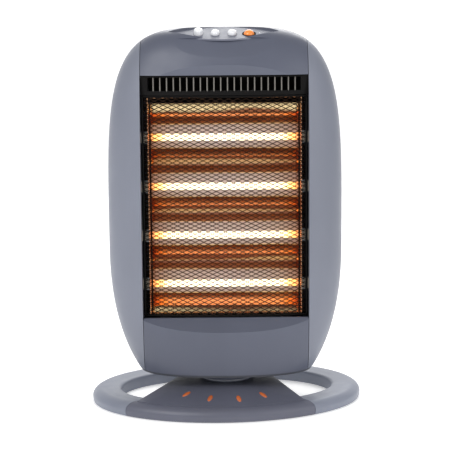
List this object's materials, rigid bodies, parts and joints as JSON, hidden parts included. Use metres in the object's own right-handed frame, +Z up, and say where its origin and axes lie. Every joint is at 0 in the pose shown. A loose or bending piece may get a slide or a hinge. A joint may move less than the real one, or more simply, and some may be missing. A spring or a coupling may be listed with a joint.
{
  "type": "halogen heater",
  "caption": "Free-standing halogen heater with an upright oscillating head, mirrored reflector behind a diamond mesh guard, push buttons and a rocker on top, and an oval ring foot.",
  "frame": {"origin": "on the head's turning axis at floor level, the middle of the ring foot's underside", "axes": "+Z up, -Y towards the front of the heater, +X to the right of someone who faces it"},
  "size_m": [0.3806, 0.2558, 0.5239],
  "materials": {
    "ring_grey": "satin",
    "deck_grey": "satin",
    "orange_trim": "gloss",
    "black_plastic": "matte",
    "rubber": "matte",
    "zinc_steel": "satin",
    "dome_gloss": "gloss",
    "turned_steel": "satin",
    "brass": "satin",
    "pan_plastic": "matte",
    "nylon": "satin",
    "side_grey": "satin",
    "panel_blue": "satin",
    "cover_grey": "satin",
    "console_grey": "satin",
    "heat_black": "matte",
    "guard_wire": "satin",
    "mirror_aluminium": "polished",
    "quartz": "gloss",
    "filament_glow": "matte",
    "lamp_ceramic": "matte",
    "button_white": "gloss",
    "rocker_orange": "gloss"
  },
  "bodies": {
    "foot": {"base_ring": "ring_grey", "front_deck": "deck_grey", "deck_inserts": "orange_trim", "base_plate": "black_plastic", "rubber_pads": "rubber", "base_screws": "zinc_steel", "tip_over_switch": "black_plastic", "pivot_dome": "dome_gloss", "pivot_post": "turned_steel", "thrust_washer": "brass", "swing_arm": "zinc_steel", "post_nut": "zinc_steel"},
    "head": {"floor_pan": "pan_plastic", "pivot_bush": "nylon", "left_side_panel": "side_grey", "right_side_panel": "side_grey", "top_panel": "panel_blue", "bottom_panel": "panel_blue", "rear_cover": "cover_grey", "rear_cover_screws": "zinc_steel", "console_plate": "console_grey", "switch_bank": "black_plastic", "rocker_bezel": "black_plastic", "rocker_body": "black_plastic", "louvre_grille": "heat_black", "guard_mesh": "guard_wire", "guard_frame": "heat_black", "guard_stays": "heat_black", "reflector": "mirror_aluminium", "left_end_plate": "mirror_aluminium", "right_end_plate": "mirror_aluminium", "lower_tie_plate": "mirror_aluminium", "upper_tie_plate": "mirror_aluminium", "chassis_legs": "zinc_steel", "heat_shield": "zinc_steel", "quartz_tube_1": "quartz", "quartz_tube_2": "quartz", "quartz_tube_3": "quartz", "quartz_tube_4": "quartz", "filament_1": "filament_glow", "filament_2": "filament_glow", "filament_3": "filament_glow", "filament_4": "filament_glow", "lamp_caps_1": "lamp_ceramic", "lamp_caps_2": "lamp_ceramic", "lamp_caps_3": "lamp_ceramic", "lamp_caps_4": "lamp_ceramic", "cap_clips": "zinc_steel", "terminal_block": "nylon", "thermal_cutout": "black_plastic", "swing_motor": "turned_steel", "motor_bracket": "zinc_steel", "cord_gland": "rubber"},
    "crank": {"crank_disc": "nylon"},
    "plunger": {"tip_over_plunger": "nylon"},
    "button_1": {"power_button_1": "button_white"},
    "button_2": {"power_button_2": "button_white"},
    "button_3": {"power_button_3": "button_white"},
    "rocker": {"rocker_switch": "rocker_orange"}
  },
  "joints": [
    {"name": "head_turn", "type": "hinge", "parent": "foot", "child": "head", "pos_m": [0, 0, 0.05], "axis": [0, 0, 1], "range_deg": [-31, 39]},
    {"name": "crank_spin", "type": "hinge", "parent": "head", "child": "crank", "pos_m": [0, 0.028, 0.07], "axis": [0, 0, 1], "range_deg": [-108.33, 86.17]},
    {"name": "tip_over_slide", "type": "slide", "parent": "foot", "child": "plunger", "axis": [0, 0, 1], "range_m": [-0.006, 0], "stiffness_N_per_m": 40, "springref_m": -0.009},
    {"name": "button_1_press", "type": "slide", "parent": "head", "child": "button_1", "axis": [0, -0.342, 0.9397], "range_m": [-0.003, 0], "stiffness_N_per_m": 250, "springref_m": 0.001},
    {"name": "button_2_press", "type": "slide", "parent": "head", "child": "button_2", "axis": [0, -0.342, 0.9397], "range_m": [0, 0.003]},
    {"name": "button_3_press", "type": "slide", "parent": "head", "child": "button_3", "axis": [0, -0.342, 0.9397], "range_m": [0, 0.003]},
    {"name": "rocker_tilt", "type": "hinge", "parent": "head", "child": "rocker", "pos_m": [0.0345, -0.02344, 0.51285], "axis": [1, 0, 0], "range_deg": [0, 18]}
  ],
  "couplings": [
    {"joint": "crank_spin", "follows": "head_turn", "ratio": -2.77}
  ]
}
